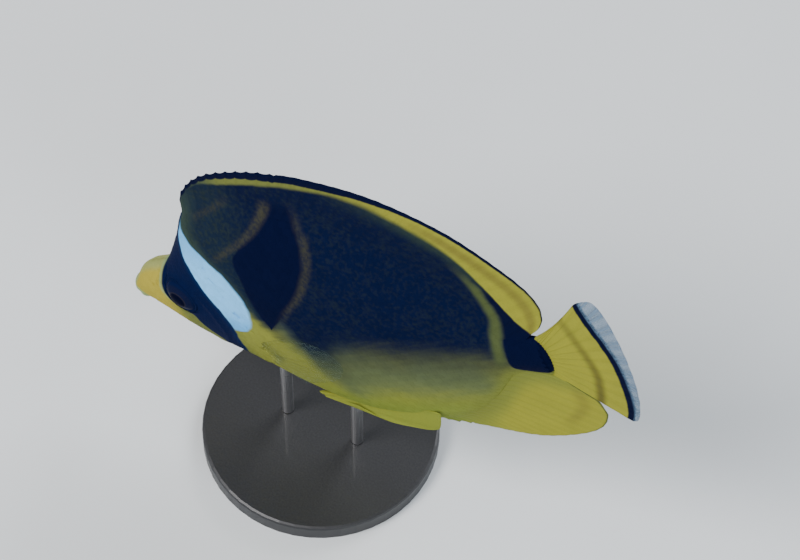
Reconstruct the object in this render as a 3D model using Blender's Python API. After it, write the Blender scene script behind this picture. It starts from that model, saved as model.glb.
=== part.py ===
"""Raccoon butterflyfish (Chaetodon lunula), life size, held on a small display stand.

Metres, +Z up. The fish is modelled in its own axes: +X runs back from the snout tip, -Y is its left side
and +Z is up. A parent empty then pitches it nose down and lifts it onto the stand. The snout faces -X.
"""

import math

import bmesh
import bpy
import numpy as np
from mathutils import Vector

for old in list(bpy.data.objects):
    bpy.data.objects.remove(old)

MM = 0.001
GAP = 0.3 * MM

# Body: profile knots in millimetres, each as (distance back from the snout tip, value).
STANDARD_LENGTH = 125.0
BACK_LINE = [(0, 6.2), (2, 8.7), (4, 10.9), (8, 13.2), (12, 14.6), (15, 16), (17.5, 19), (20, 22.3),
             (25, 29.2), (30, 36.8), (35, 41.1), (41, 43.2), (50, 44.7), (60, 44.6), (70, 43), (80, 39.6),
             (90, 34.8), (100, 27.5), (108, 19.5), (113, 14), (117, 11), (121, 10.1), (125, 10.4)]
BELLY_LINE = [(0, 0.7), (4, -1), (8, -2.9), (13, -6.7), (19, -12.3), (25, -16.6), (31, -20.2), (38, -24.3),
              (46, -28.7), (55, -32.3), (65, -34), (75, -33.8), (85, -31.4), (95, -26.5), (103, -20),
              (110, -11.8), (115, -6.5), (120, -4.1), (125, -4)]
HALF_WIDTH = [(0, 2.9), (4, 4.4), (8, 5.2), (13, 6.1), (19, 7.0), (25, 7.8), (31, 8.5), (38, 9.2), (45, 9.8),
              (56, 10.2), (69, 10), (81, 8.9), (94, 7), (106, 4.8), (115, 3.4), (125, 2.3)]
SECTION_FULLNESS = 2.2
SECTION_CURVES = (0.5, 0.68)
HEAD_ROUND_TO = 35.0
RING_POINTS = 28
BODY_STATIONS = 44

# Seams between the fish's own parts, as (x, z) knots in millimetres.
GILL_SEAM = [(28, 60), (30.5, 40), (35.5, 26), (38, 15), (40.5, 7), (41.5, 0), (40.5, -7), (37.5, -13),
             (33.5, -19), (29.5, -25), (25, -40)]
STALK_SEAM_X = 115.5

# Fins: outlines in the fish's own XZ plane, in millimetres.
FIN_ROOT = 1.3
FIN_EDGE = 0.55
RAY_RIDGE = 0.16
DORSAL_BASE = (31.5, 120.0)
DORSAL_EDGE = [(33.6, 43.4), (36, 46.5), (39.5, 50), (45, 53.2), (52, 55.6), (59, 57.3), (66, 58.1),
               (73, 58.1), (80, 57.3), (87, 56.1), (94, 54.5), (101, 52.2), (107, 49.6), (112, 46.9),
               (116, 44), (120, 40), (124, 35.2), (127.7, 30.2), (129.9, 25.7), (130.6, 22), (130, 18.4),
               (128.4, 15.2), (126.5, 13.1), (124.6, 12.1)]
ANAL_BASE = (78.0, 116.5)
ANAL_EDGE = [(82, -34.2), (88, -33.4), (95, -32.7), (102, -32.4), (110, -31.9), (118, -30.3), (125, -27.8),
             (130, -24.9), (134, -20.7), (135.9, -16.4), (135, -12.7), (131.6, -9.3), (127.2, -5.9)]
CAUDAL_EDGE = [(128, 12.2), (133, 16.8), (138, 22), (142.5, 26.6), (146.6, 27.9), (148.6, 24), (149.5, 18),
               (149.8, 10.7), (149.3, 1.6), (148, -6.4), (145.7, -14), (143.2, -17.9), (139.6, -15.4),
               (135, -11.2), (129, -6.2)]
DORSAL_RAYS = 36
DORSAL_SPINES = 12
ANAL_SPINES = 3
SPINE_RIDGE = 0.3
SPINE_NOTCH = 0.7
ANAL_RAYS = 21
CAUDAL_RAYS = 17
PECTORAL_RAYS = 12
PELVIC_RAYS = 6

# Eyes.
EYE_AT = (20.3, 9.6)
EYE_RADIUS = 5.2
EYE_HALF_DEPTH = 2.4
EYE_BULGE = 1.2
EYE_FACING = (-0.16, 1.0, 0.06)

# Face: lips, mouth line, nostrils and the raised edges of the two cheek plates, in millimetres.
LIPS = [((-0.4, 3.7), (1.45, 2.5, 1.3)), ((-0.2, 1.35), (1.35, 2.3, 1.15))]
MOUTH_LINE = [(-4, 2.7), (-4, 2.25), (2.6, 1.5), (2.8, 1.7)]
NOSTRILS = [(10.2, 9.4), (11.9, 10.4)]
CHEEK_EDGE = [(27.5, 13), (29.8, 6), (30, 0), (28.2, -6), (24, -9.8), (18.5, -9.6), (13.5, -6.8)]
GILL_EDGE = (0.45, 0.76)
FIN_LOBE = ((42.6, -4.6), (2.2, 1.3, 4.4))

# Pose and stand.
PITCH = math.radians(23.6)
SNOUT_AT = (-67.93, 0.0, 36.0)
BASE_RADIUS = 32.0
BASE_THICK = 5.0
BASE_AT = -17.0
ROD_RADIUS = 1.6
RODS = {"stand_rod_front": -27.0, "stand_rod_rear": -6.0}


def smooth(knots):
    """A smooth curve through (position, value) knots that makes no bumps between them."""
    xs = np.array([k[0] for k in knots], float)
    ys = np.array([k[1] for k in knots], float)
    h = np.diff(xs)
    d = np.diff(ys) / h
    m = np.zeros(len(xs))
    m[0] = d[0]
    m[-1] = d[-1]
    for i in range(1, len(xs) - 1):
        if d[i - 1] * d[i] > 0:
            a = 2 * h[i] + h[i - 1]
            b = h[i] + 2 * h[i - 1]
            m[i] = (a + b) / (a / d[i - 1] + b / d[i])

    def value(x):
        x = min(max(x, xs[0]), xs[-1])
        i = min(int(np.searchsorted(xs, x, side="right")) - 1, len(xs) - 2)
        t = (x - xs[i]) / h[i]
        return float((1 + 2 * t) * (1 - t) ** 2 * ys[i] + t * (1 - t) ** 2 * h[i] * m[i]
                     + t * t * (3 - 2 * t) * ys[i + 1] + t * t * (t - 1) * h[i] * m[i + 1])

    return value


def smooth_path(points, count, ends=(0.0, 1.0)):
    """Points at equal steps along a smooth path through the given ones."""
    points = [np.array(p, float) for p in points]
    way = [0.0]
    for a, b in zip(points, points[1:]):
        way.append(way[-1] + float(np.linalg.norm(b - a)))
    axes = [smooth([(w, p[k]) for w, p in zip(way, points)]) for k in range(len(points[0]))]
    steps = np.linspace(ends[0] * way[-1], ends[1] * way[-1], count)
    return [np.array([axis(w) for axis in axes]) for w in steps]


back = smooth(BACK_LINE)
belly = smooth(BELLY_LINE)
half_width = smooth(HALF_WIDTH)


def section_curve(x):
    """How sharply a section closes towards the back and the belly: round on the snout, keeled behind it."""
    share = min(max(x / HEAD_ROUND_TO, 0.0), 1.0)
    share = share * share * (3 - 2 * share)
    return SECTION_CURVES[0] + (SECTION_CURVES[1] - SECTION_CURVES[0]) * share


def side_at(x, z, grow=0.0):
    """How far the flank stands out from the fish's middle plane at a point of its side view."""
    top = back(x) + grow
    low = belly(x) - grow
    t = min(abs((z - (top + low) / 2) / ((top - low) / 2)), 1.0)
    return (half_width(x) + grow) * (1 - t ** SECTION_FULLNESS) ** section_curve(x)


def material(name, colour, roughness, metallic=0.0):
    made = bpy.data.materials.new(name)
    made.use_nodes = True
    shader = made.node_tree.nodes["Principled BSDF"]
    shader.inputs["Base Color"].default_value = (*colour, 1)
    shader.inputs["Roughness"].default_value = roughness
    shader.inputs["Metallic"].default_value = metallic
    return made


def add_object(name, mesh, parent, look=None):
    made = bpy.data.objects.new(name, mesh)
    bpy.context.scene.collection.objects.link(made)
    made.parent = parent
    if look:
        mesh.materials.clear()
        mesh.materials.append(look)
    return made


def mesh_from(name, points, faces):
    """A mesh from points in millimetres."""
    bm = bmesh.new()
    verts = [bm.verts.new([c * MM for c in p]) for p in points]
    for face in faces:
        bm.faces.new([verts[i] for i in face])
    bmesh.ops.recalc_face_normals(bm, faces=bm.faces)
    if bm.calc_volume(signed=True) < 0:
        bmesh.ops.reverse_faces(bm, faces=bm.faces)
    made = bpy.data.meshes.new(name)
    bm.to_mesh(made)
    bm.free()
    return made


def ring_loft(name, rings, poles):
    """A closed skin over rings of equal count, ended by one pole each."""
    count = len(rings[0])
    points = [p for ring in rings for p in ring] + list(poles)
    faces = []
    for r in range(len(rings) - 1):
        for i in range(count):
            j = (i + 1) % count
            faces.append((r * count + i, r * count + j, (r + 1) * count + j, (r + 1) * count + i))
    first = len(points) - 2
    last = (len(rings) - 1) * count
    for i in range(count):
        j = (i + 1) % count
        faces.append((first, j, i))
        faces.append((first + 1, last + i, last + j))
    return mesh_from(name, points, faces)


def body_mesh(name, grow=0.0):
    """The whole body from the lips to the root of the tail fin, swollen by grow millimetres."""
    shares = np.linspace(0, 1, BODY_STATIONS)
    stations = STANDARD_LENGTH * (0.35 * shares ** 2 + 0.65 * shares)
    rings = []

    def ring(x, at, scale):
        top = back(x) + grow
        low = belly(x) - grow
        middle = (top + low) / 2
        made = []
        for i in range(RING_POINTS):
            angle = 2 * math.pi * i / RING_POINTS
            t = math.cos(angle)
            wide = (half_width(x) + grow) * (1 - abs(t) ** SECTION_FULLNESS) ** section_curve(x)
            made.append((at, math.copysign(wide, math.sin(angle)) * scale,
                         middle + (top - low) / 2 * t * scale))
        return made

    rings.append(ring(0, -1.3 - grow, 0.62))
    for x in stations:
        rings.append(ring(x, x, 1.0))
    rings.append(ring(STANDARD_LENGTH, STANDARD_LENGTH + 1.6 + grow, 0.8))
    snout = (-1.8 - grow, 0, (back(0) + belly(0)) / 2)
    end = (STANDARD_LENGTH + 2.4 + grow, 0, (back(STANDARD_LENGTH) + belly(STANDARD_LENGTH)) / 2)
    return ring_loft(name, rings, (snout, end))


def plate(name, outline, half):
    """A flat prism: an outline in the XZ plane, reaching half millimetres to each side."""
    count = len(outline)
    points = [(x, -half, z) for x, z in outline] + [(x, half, z) for x, z in outline]
    faces = [tuple(range(count)), tuple(reversed(range(count, 2 * count)))]
    for i in range(count):
        j = (i + 1) % count
        faces.append((i, j, count + j, count + i))
    return mesh_from(name, points, faces)


def fin_mesh(name, root, edge, rays, rows, side, root_half, edge_half, spines=0):
    """A fin as one closed sheet from its root line to its margin, with a ridge along each ray.

    root and edge give a point of the XZ plane for a share along the fin; side gives the sheet's own
    distance from that plane. The first rays are spines: stouter, with the margin notched between them.
    Both faces are split into the same triangles.
    """
    columns = [0.0]
    for k in range(rays):
        step = 1.0 / (rays - 1)
        for part in (0.3, 0.7, 1.0):
            if k < rays - 1:
                columns.append((k + part) * step)
    points = []
    for sign in (-1, 1):
        for c, share in enumerate(columns):
            a = np.array(root(share))
            b = np.array(edge(share))
            spiny = c < 3 * spines
            if spiny and c % 3:
                b = b - (b - a) / np.linalg.norm(b - a) * SPINE_NOTCH
            height = SPINE_RIDGE if spiny else RAY_RIDGE
            for r in range(rows + 1):
                v = r / rows
                p = a + (b - a) * v
                thick = root_half + (edge_half - root_half) * v
                ridge = height * (1 - 0.6 * v) if c % 3 == 0 else 0.0
                y = side(share, v)
                points.append((p[0], y + sign * (thick + ridge), p[1]))
    width = rows + 1
    half = len(columns) * width
    faces = []
    for c in range(len(columns) - 1):
        for r in range(rows):
            q = (c * width + r, c * width + r + 1, (c + 1) * width + r + 1, (c + 1) * width + r)
            faces.append((q[0], q[1], q[2]))
            faces.append((q[0], q[2], q[3]))
            faces.append((half + q[2], half + q[1], half + q[0]))
            faces.append((half + q[3], half + q[2], half + q[0]))
    border = [c * width for c in range(len(columns))]
    border += [(len(columns) - 1) * width + r for r in range(1, width)]
    border += [c * width + rows for c in range(len(columns) - 2, -1, -1)]
    border += [r for r in range(rows - 1, 0, -1)]
    for i, a in enumerate(border):
        b = border[(i + 1) % len(border)]
        faces.append((a, b, half + b))
        faces.append((a, half + b, half + a))
    return mesh_from(name, points, faces)


def eye_mesh(name, side, grow):
    """A flattened ball that faces out of the head, swollen by grow millimetres."""
    facing = Vector((EYE_FACING[0], EYE_FACING[1] * side, EYE_FACING[2])).normalized()
    across = facing.cross(Vector((0, 0, 1))).normalized()
    upward = across.cross(facing)
    surface = Vector((EYE_AT[0], side_at(*EYE_AT) * side, EYE_AT[1]))
    middle = surface + facing * (EYE_BULGE - EYE_HALF_DEPTH)
    bm = bmesh.new()
    bmesh.ops.create_uvsphere(bm, u_segments=24, v_segments=12, radius=1.0)
    for vert in bm.verts:
        x, y, z = vert.co
        vert.co = (middle + across * (x * (EYE_RADIUS + grow)) + upward * (y * (EYE_RADIUS + grow))
                   + facing * (z * (EYE_HALF_DEPTH + grow))) * MM
    if bm.calc_volume(signed=True) < 0:
        bmesh.ops.reverse_faces(bm, faces=bm.faces)
    made = bpy.data.meshes.new(name)
    bm.to_mesh(made)
    bm.free()
    return made


def ball_mesh(name, middle, radii):
    """An egg-shaped lump, in millimetres."""
    bm = bmesh.new()
    bmesh.ops.create_uvsphere(bm, u_segments=14, v_segments=8, radius=1.0)
    for vert in bm.verts:
        vert.co = Vector([(m + c * r) * MM for m, c, r in zip(middle, vert.co, radii)])
    made = bpy.data.meshes.new(name)
    bm.to_mesh(made)
    bm.free()
    return made


def skin_point(x, z, side, sunk=0.0):
    """A point of the flank and its outward direction, sunk below the skin by so many millimetres."""
    step = 0.4
    outward = Vector((-(side_at(x + step, z) - side_at(x - step, z)) / (2 * step), side,
                      -(side_at(x, z + step) - side_at(x, z - step)) / (2 * step))).normalized()
    return Vector((x, side_at(x, z) * side, z)) - outward * sunk, outward


def surface_tube(name, path, side, radius, sunk, looped=False):
    """A thin round ridge that follows a path of (x, z) points over the flank."""
    sides = 6
    count = len(path)
    spots = [skin_point(x, z, side, sunk) for x, z in path]
    points = []
    for i, (spot, outward) in enumerate(spots):
        after = spots[(i + 1) % count if looped else min(i + 1, count - 1)][0]
        before = spots[i - 1 if looped else max(i - 1, 0)][0]
        across = (after - before).cross(outward).normalized()
        taper = 1.0 if looped else 0.35 + 0.65 * math.sin(math.pi * (i + 0.5) / count) ** 0.5
        for k in range(sides):
            angle = 2 * math.pi * k / sides
            points.append(spot + (outward * math.cos(angle) + across * math.sin(angle)) * radius * taper)
    faces = []
    for i in range(count if looped else count - 1):
        for k in range(sides):
            j = (k + 1) % sides
            n = (i + 1) % count
            faces.append((i * sides + k, i * sides + j, n * sides + j, n * sides + k))
    if not looped:
        faces.append(tuple(range(sides)))
        faces.append(tuple(reversed(range((count - 1) * sides, count * sides))))
    return mesh_from(name, points, faces)


def lobe_at(side):
    """The middle of the fleshy lobe that carries a pectoral fin."""
    (x, z), _ = FIN_LOBE
    return (x, side * (side_at(x, z) - 0.4), z)


def join(target, meshes):
    """Fuses closed meshes onto an object by one union."""
    group = bpy.data.collections.new(target.name + "_pieces")
    bpy.context.scene.collection.children.link(group)
    for mesh in meshes:
        piece = bpy.data.objects.new(mesh.name, mesh)
        group.objects.link(piece)
        piece.parent = target.parent
    modifier = target.modifiers.new("join", "BOOLEAN")
    modifier.operation = "UNION"
    modifier.solver = "EXACT"
    modifier.operand_type = "COLLECTION"
    modifier.collection = group
    settle(target)
    for piece in list(group.objects):
        bpy.data.objects.remove(piece)
    bpy.data.collections.remove(group)


def cut(target, tool, operation="DIFFERENCE"):
    modifier = target.modifiers.new(operation.lower(), "BOOLEAN")
    modifier.operation = operation
    modifier.solver = "EXACT"
    modifier.object = tool


def settle(target):
    """Applies the modifiers and keeps the largest closed surface that they leave."""
    bpy.context.view_layer.update()
    graph = bpy.context.evaluated_depsgraph_get()
    made = bpy.data.meshes.new_from_object(target.evaluated_get(graph))
    target.modifiers.clear()
    bm = bmesh.new()
    bm.from_mesh(made)
    bmesh.ops.remove_doubles(bm, verts=bm.verts, dist=1e-6)
    bmesh.ops.triangulate(bm, faces=bm.faces)
    left = set(bm.faces)
    pieces = []
    while left:
        seed = left.pop()
        piece = [seed]
        queue = [seed]
        while queue:
            for edge in queue.pop().edges:
                for face in edge.link_faces:
                    if face in left:
                        left.discard(face)
                        piece.append(face)
                        queue.append(face)
        pieces.append(piece)
    pieces.sort(key=lambda piece: sum(face.calc_area() for face in piece), reverse=True)
    extra = [face for piece in pieces[1:] for face in piece]
    if extra:
        bmesh.ops.delete(bm, geom=extra, context="FACES")
    bm.to_mesh(made)
    bm.free()
    made.shade_smooth()
    made.set_sharp_from_angle(angle=math.radians(35))
    target.data = made


def helper(made):
    made.hide_render = True
    made.display_type = "WIRE"
    return made


fish = bpy.data.objects.new("fish", None)
bpy.context.scene.collection.objects.link(fish)
fish.location = [c * MM for c in SNOUT_AT]
fish.rotation_euler = (0, -PITCH, 0)

dark = material("dark_flank", (0.055, 0.045, 0.035), 0.45)
yellow = material("yellow_flank", (0.62, 0.44, 0.03), 0.45)
face_look = material("black_mask", (0.02, 0.02, 0.03), 0.45)
stalk_look = material("stalk_spot", (0.02, 0.02, 0.02), 0.45)
dorsal_look = material("dorsal_fin", (0.10, 0.08, 0.03), 0.4)
anal_look = material("anal_fin", (0.60, 0.42, 0.03), 0.4)
caudal_look = material("caudal_fin", (0.62, 0.45, 0.04), 0.4)
clear_look = material("clear_fin", (0.55, 0.58, 0.45), 0.35)
eye_look = material("eye", (0.03, 0.025, 0.02), 0.1)
base_look = material("stand_base", (0.05, 0.05, 0.055), 0.5, 0.6)
rod_look = material("stand_rod", (0.6, 0.6, 0.6), 0.3, 1.0)

# The swollen body keeps every fin, eye and rod clear of the flesh by the gap.
clearance = helper(add_object("clearance", body_mesh("clearance", 0.3), fish))

gill_line = [tuple(p) for p in smooth_path(GILL_SEAM, 24)]
half_gap = 0.15
head_zone = [(x - half_gap, z) for x, z in reversed(gill_line)] + [(-20, 60), (-20, -40)]
torso_zone = [(x + half_gap, z) for x, z in gill_line] + [
    (STALK_SEAM_X - half_gap, -40), (STALK_SEAM_X - half_gap, 60)]
stalk_zone = [(STALK_SEAM_X + half_gap, 60), (STALK_SEAM_X + half_gap, -40), (150, -40), (150, 60)]

for name, zone, look in (("head", head_zone, face_look), ("torso", torso_zone, dark),
                         ("tail_stalk", stalk_zone, stalk_look)):
    region = helper(add_object(name + "_zone", plate(name + "_zone", zone, 30), fish))
    made = add_object(name, body_mesh(name), fish, look)
    extra = []
    if name == "head":
        extra += [ball_mesh("lip", (at[0], 0, at[1]), radii) for at, radii in LIPS]
        for side in (-1, 1):
            reach = EYE_RADIUS + 0.55
            rim = [(EYE_AT[0] + reach * math.cos(a), EYE_AT[1] + reach * math.sin(a))
                   for a in np.linspace(0, 2 * math.pi, 24, endpoint=False)]
            edge = [tuple(p) for p in smooth_path(CHEEK_EDGE, 18)]
            gill = [tuple(p) for p in smooth_path(GILL_SEAM, 22, GILL_EDGE)]
            extra.append(surface_tube("eye_rim", rim, side, 0.8, 0.3, looped=True))
            extra.append(surface_tube("cheek_edge", edge, side, 0.6, 0.3))
            extra.append(surface_tube("gill_edge", gill, side, 0.7, 0.35))
    if name == "torso":
        extra += [ball_mesh("fin_lobe", lobe_at(side), FIN_LOBE[1]) for side in (-1, 1)]
    if extra:
        join(made, extra)
    cut(made, region, "INTERSECT")
    if name == "head":
        mouth = helper(add_object("mouth_cutter", plate("mouth_cutter", MOUTH_LINE, 6), fish))
        cut(made, mouth)
        for x, z in NOSTRILS:
            for side in (-1, 1):
                spot = skin_point(x, z, side, 0.1)[0]
                pit = ball_mesh("nostril_cutter", spot, (0.5, 0.5, 0.5))
                cut(made, helper(add_object("nostril_cutter", pit, fish)))
        for side in (-1, 1):
            tag = "right" if side > 0 else "left"
            eye = add_object("eye_" + tag, eye_mesh("eye_" + tag, side, 0.0), fish, eye_look)
            eye.data.shade_smooth()
            cut(made, helper(add_object("socket_" + tag, eye_mesh("socket_" + tag, side, 0.3), fish)))
    settle(made)


def path_share(points):
    """A point at each share of the way along a smooth path."""
    sampled = smooth_path(points, 400)
    return lambda share: sampled[min(int(round(share * 399)), 399)]


def on_line(line, ends, sunk):
    """A root line that lies sunk below the back, or above the belly."""
    return lambda share: np.array([ends[0] + (ends[1] - ends[0]) * share,
                                   line(ends[0] + (ends[1] - ends[0]) * share) + sunk])


dorsal = add_object("dorsal_fin", fin_mesh(
    "dorsal_fin", on_line(back, DORSAL_BASE, -1.5), path_share(DORSAL_EDGE), DORSAL_RAYS, 4,
    lambda s, v: 0.0, FIN_ROOT / 2, FIN_EDGE / 2, DORSAL_SPINES), fish, dorsal_look)
anal = add_object("anal_fin", fin_mesh(
    "anal_fin", on_line(belly, ANAL_BASE, 1.5), path_share(ANAL_EDGE), ANAL_RAYS, 4,
    lambda s, v: 0.0, FIN_ROOT / 2, FIN_EDGE / 2, ANAL_SPINES), fish, anal_look)


def caudal_root(share):
    top = back(STANDARD_LENGTH) - 0.9
    low = belly(STANDARD_LENGTH) + 0.9
    return np.array([STANDARD_LENGTH - 1.0 + 1.6 * math.sin(math.pi * share), top + (low - top) * share])


caudal = add_object("caudal_fin", fin_mesh(
    "caudal_fin", caudal_root, path_share(CAUDAL_EDGE), CAUDAL_RAYS, 4,
    lambda s, v: 0.0, FIN_ROOT / 2, FIN_EDGE / 2), fish, caudal_look)
for fin in (dorsal, anal, caudal):
    cut(fin, clearance)
    settle(fin)

PECTORAL_EDGE = [(53, 5), (60, 5.5), (66.5, 3), (69, -1.5), (66.5, -6.5), (60.5, -10.5), (53, -12.5)]
PELVIC_EDGE = [(60, -24), (73, -23), (86.2, -24.2), (84.8, -28), (82.2, -31.9), (76, -32.9), (70, -33),
               (64, -31.8), (58.5, -28.6)]
for side in (-1, 1):
    tag = "right" if side > 0 else "left"

    def pectoral_root(share):
        return np.array([42.5 + 0.6 * share, -1.2 - 6.5 * share])

    def pectoral_side(share, v, side=side):
        return side * (side_at(43, -4) + 0.5 + 1.6 * v + 0.3 * v * v)

    def pelvic_root(share):
        return np.array([45.5 + 0.5 * share, -27.4 - 1.8 * share])

    def pelvic_side(share, v, side=side):
        return side * (3.4 + 1.8 * v - 0.6 * share)

    pectoral = add_object("pectoral_fin_" + tag, fin_mesh(
        "pectoral_fin", pectoral_root, path_share(PECTORAL_EDGE), PECTORAL_RAYS, 4,
        pectoral_side, 0.55, 0.27), fish, clear_look)
    pelvic = add_object("pelvic_fin_" + tag, fin_mesh(
        "pelvic_fin", pelvic_root, path_share(PELVIC_EDGE), PELVIC_RAYS, 5,
        pelvic_side, 0.6, 0.3), fish, anal_look)
    lobe = ball_mesh("lobe_clearance", lobe_at(side), [r + 0.3 for r in FIN_LOBE[1]])
    cut(pectoral, helper(add_object("lobe_clearance", lobe, fish)))
    for fin in (pectoral, pelvic):
        cut(fin, clearance)
        settle(fin)

# Stand: a round base and two rods whose tops follow the belly.
bm = bmesh.new()
bmesh.ops.create_cone(bm, cap_ends=True, segments=48, radius1=BASE_RADIUS * MM, radius2=BASE_RADIUS * MM,
                      depth=BASE_THICK * MM)
rim = [e for e in bm.edges if e.verts[0].co.z > 0 and e.verts[1].co.z > 0]
bmesh.ops.bevel(bm, geom=rim, offset=0.8 * MM, offset_type="OFFSET", segments=2, profile=0.5, affect="EDGES",
                material=-1)
mesh = bpy.data.meshes.new("stand_base")
bm.to_mesh(mesh)
bm.free()
base = add_object("stand_base", mesh, None, base_look)
base.location = (BASE_AT * MM, 0, BASE_THICK / 2 * MM)
mesh.shade_smooth()
mesh.set_sharp_from_angle(angle=math.radians(35))
for name, x in RODS.items():
    bm = bmesh.new()
    bmesh.ops.create_cone(bm, cap_ends=True, segments=20, radius1=ROD_RADIUS * MM, radius2=ROD_RADIUS * MM,
                          depth=40 * MM)
    mesh = bpy.data.meshes.new(name)
    bm.to_mesh(mesh)
    bm.free()
    rod = add_object(name, mesh, None, rod_look)
    rod.location = (x * MM, 0, BASE_THICK * MM + GAP + 20 * MM)
    cut(rod, clearance)
    settle(rod)
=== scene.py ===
"""Looks of the raccoon butterflyfish: skin, scales, fins, eyes, lips, the stand's finishes, floor and light.

Lengths are millimetres in the fish's own axes, as in the CAD: x runs back from the snout tip, z is up and
y is the side, with the fish's left at -y. in_row() turns them into the row's metres.
"""

import math

import bmesh
import bpy
import numpy as np
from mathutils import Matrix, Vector


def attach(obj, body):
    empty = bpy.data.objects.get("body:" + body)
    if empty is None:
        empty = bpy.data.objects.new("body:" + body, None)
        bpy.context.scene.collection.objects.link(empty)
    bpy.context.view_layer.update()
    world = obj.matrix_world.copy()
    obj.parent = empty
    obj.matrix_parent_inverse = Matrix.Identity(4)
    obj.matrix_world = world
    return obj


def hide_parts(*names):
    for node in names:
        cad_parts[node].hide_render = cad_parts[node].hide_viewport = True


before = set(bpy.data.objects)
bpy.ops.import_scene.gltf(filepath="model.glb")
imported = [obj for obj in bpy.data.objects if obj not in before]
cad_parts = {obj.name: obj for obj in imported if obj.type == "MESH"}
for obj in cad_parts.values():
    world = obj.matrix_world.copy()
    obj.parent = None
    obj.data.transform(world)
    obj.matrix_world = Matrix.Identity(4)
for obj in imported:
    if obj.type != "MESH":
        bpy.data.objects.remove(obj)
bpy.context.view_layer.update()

MM = 0.001
PITCH = math.radians(23.6)
SNOUT_AT = (-67.93, 0.0, 36.0)
BACKWARD = (math.cos(PITCH), 0.0, math.sin(PITCH))
UPWARD = (-math.sin(PITCH), 0.0, math.cos(PITCH))

LENGTH = 125.0
FRONT_CAP = 1.8
REAR_CAP = 2.4
BACK_LINE = [(0, 6.2), (2, 8.7), (4, 10.9), (8, 13.2), (12, 14.6), (15, 16), (17.5, 19), (20, 22.3),
             (25, 29.2), (30, 36.8), (35, 41.1), (41, 43.2), (50, 44.7), (60, 44.6), (70, 43), (80, 39.6),
             (90, 34.8), (100, 27.5), (108, 19.5), (113, 14), (117, 11), (121, 10.1), (125, 10.4)]
BELLY_LINE = [(0, 0.7), (4, -1), (8, -2.9), (13, -6.7), (19, -12.3), (25, -16.6), (31, -20.2), (38, -24.3),
              (46, -28.7), (55, -32.3), (65, -34), (75, -33.8), (85, -31.4), (95, -26.5), (103, -20),
              (110, -11.8), (115, -6.5), (120, -4.1), (125, -4)]
HALF_WIDTH = [(0, 2.9), (4, 4.4), (8, 5.2), (13, 6.1), (19, 7.0), (25, 7.8), (31, 8.5), (38, 9.2), (45, 9.8),
              (56, 10.2), (69, 10), (81, 8.9), (94, 7), (106, 4.8), (115, 3.4), (125, 2.3)]
SECTION_FULLNESS = 2.2
SECTION_CURVES = (0.5, 0.68)
HEAD_ROUND_TO = 35.0

GILL_OPENING = [(-25, 29.5), (-19, 33.5), (-13, 37.5), (-7, 40.5), (0, 41.5), (7, 40.5), (15, 38), (26, 35.5),
                (40, 33)]
CHEEK_EDGE = [(27.5, 13), (29.8, 6), (30, 0), (28.2, -6), (24, -9.8), (18.5, -9.6), (13.5, -6.8)]
NOSTRILS = [(10.2, 9.4), (11.9, 10.4)]
MOUTH_CREASE = [(2.2, 1.6), (3.8, 0.6), (4.9, -1.2)]
SNOUT_CREASE = [(8, 4.6), (12, 2.4), (17, 1.0), (21, 0.6)]

EYE_AT = (20.3, 9.6)
EYE_RADIUS = 5.05
EYE_DEPTH = 2.3
EYE_SUNK = 0.75
EYE_FACING = (-0.16, 1.0, 0.06)

SKIN_DEPTH = 0.25
SKIN_ROUND = 176
SKIN_ALONG = 240

# Low gloss: seen at a grazing angle, a usual one lays a grey veil over the black markings.
WET_IOR = 1.2
WET_GLOSS = 0.01


def smooth(knots):
    """A smooth curve through (position, value) knots that makes no bumps between them."""
    xs = np.array([k[0] for k in knots], float)
    ys = np.array([k[1] for k in knots], float)
    h = np.diff(xs)
    d = np.diff(ys) / h
    m = np.zeros(len(xs))
    m[0] = d[0]
    m[-1] = d[-1]
    for i in range(1, len(xs) - 1):
        if d[i - 1] * d[i] > 0:
            a = 2 * h[i] + h[i - 1]
            b = h[i] + 2 * h[i - 1]
            m[i] = (a + b) / (a / d[i - 1] + b / d[i])

    def value(x):
        x = np.clip(np.asarray(x, float), xs[0], xs[-1])
        i = np.clip(np.searchsorted(xs, x, side="right") - 1, 0, len(xs) - 2)
        t = (x - xs[i]) / h[i]
        return ((1 + 2 * t) * (1 - t) ** 2 * ys[i] + t * (1 - t) ** 2 * h[i] * m[i]
                + t * t * (3 - 2 * t) * ys[i + 1] + t * t * (t - 1) * h[i] * m[i + 1])

    return value


def smooth_path(points, count):
    """Points at equal steps along a smooth path through the given ones."""
    points = np.array(points, float)
    way = np.concatenate([[0.0], np.cumsum(np.linalg.norm(np.diff(points, axis=0), axis=1))])
    steps = np.linspace(0.0, way[-1], count)
    return np.stack([smooth(list(zip(way, points[:, k])))(steps) for k in range(points.shape[1])], axis=1)


def step_up(value, start, end):
    """0 before start, 1 after end and an even rise between."""
    t = np.clip((np.asarray(value, float) - start) / (end - start), 0, 1)
    return t * t * (3 - 2 * t)


def bump(value, width):
    return np.exp(-(value / width) ** 2)


back = smooth(BACK_LINE)
belly = smooth(BELLY_LINE)
half_width = smooth(HALF_WIDTH)
gill_x = smooth(GILL_OPENING)


def body_point(x, turn, grow=0.0):
    """A point of the flesh. turn runs from 0 at the back, down the right side, to pi at the belly."""
    x = np.asarray(x, float)
    xc = np.clip(x, 0, LENGTH)
    out = np.where(x < 0, -x / (FRONT_CAP + grow), np.where(x > LENGTH, (x - LENGTH) / (REAR_CAP + grow), 0))
    close = np.sqrt(1 - np.clip(out, 0, 1) ** 2)
    top = back(xc) + grow
    low = belly(xc) - grow
    share = step_up(xc, 0, HEAD_ROUND_TO)
    power = SECTION_CURVES[0] + (SECTION_CURVES[1] - SECTION_CURVES[0]) * share
    t = np.cos(turn)
    wide = (half_width(xc) + grow) * np.clip(1 - np.abs(t) ** SECTION_FULLNESS, 0, 1) ** power
    y = np.copysign(wide, np.sin(turn)) * close
    z = (top + low) / 2 + (top - low) / 2 * t * close
    return np.stack(np.broadcast_arrays(x, y, z), axis=-1)


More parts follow.
